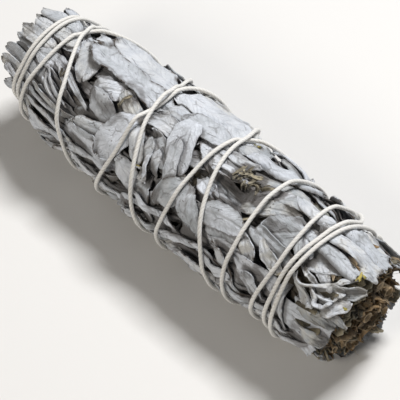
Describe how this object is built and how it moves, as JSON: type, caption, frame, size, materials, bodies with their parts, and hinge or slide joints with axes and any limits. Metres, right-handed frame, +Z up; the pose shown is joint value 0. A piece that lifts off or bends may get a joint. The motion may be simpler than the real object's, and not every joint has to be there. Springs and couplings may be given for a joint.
{
  "type": "sage bunch",
  "caption": "Bundle of dried white sage, leafy stems cut to one length and bound tightly with cotton string, lying on its side.",
  "frame": {"origin": "middle of the under side of the bounding box, on the surface that the bunch lies on", "axes": "+X along the bunch towards its cut end, +Z up, -Y towards the side that the reference view shows"},
  "size_m": [0.1236, 0.0372, 0.0356],
  "materials": {
    "sage_leaf": "matte, softly downy, dried grey-green",
    "cotton_string": "matte twisted cotton"
  },
  "bodies": {
    "root": {"leafy_stem_1": "sage_leaf", "leafy_stem_2": "sage_leaf", "leafy_stem_3": "sage_leaf", "leafy_stem_4": "sage_leaf", "leafy_stem_5": "sage_leaf", "leafy_stem_6": "sage_leaf", "leafy_stem_7": "sage_leaf", "leafy_stem_8": "sage_leaf", "middle_stem": "sage_leaf", "string": "cotton_string", "string_knot": "cotton_string"}
  },
  "joints": []
}
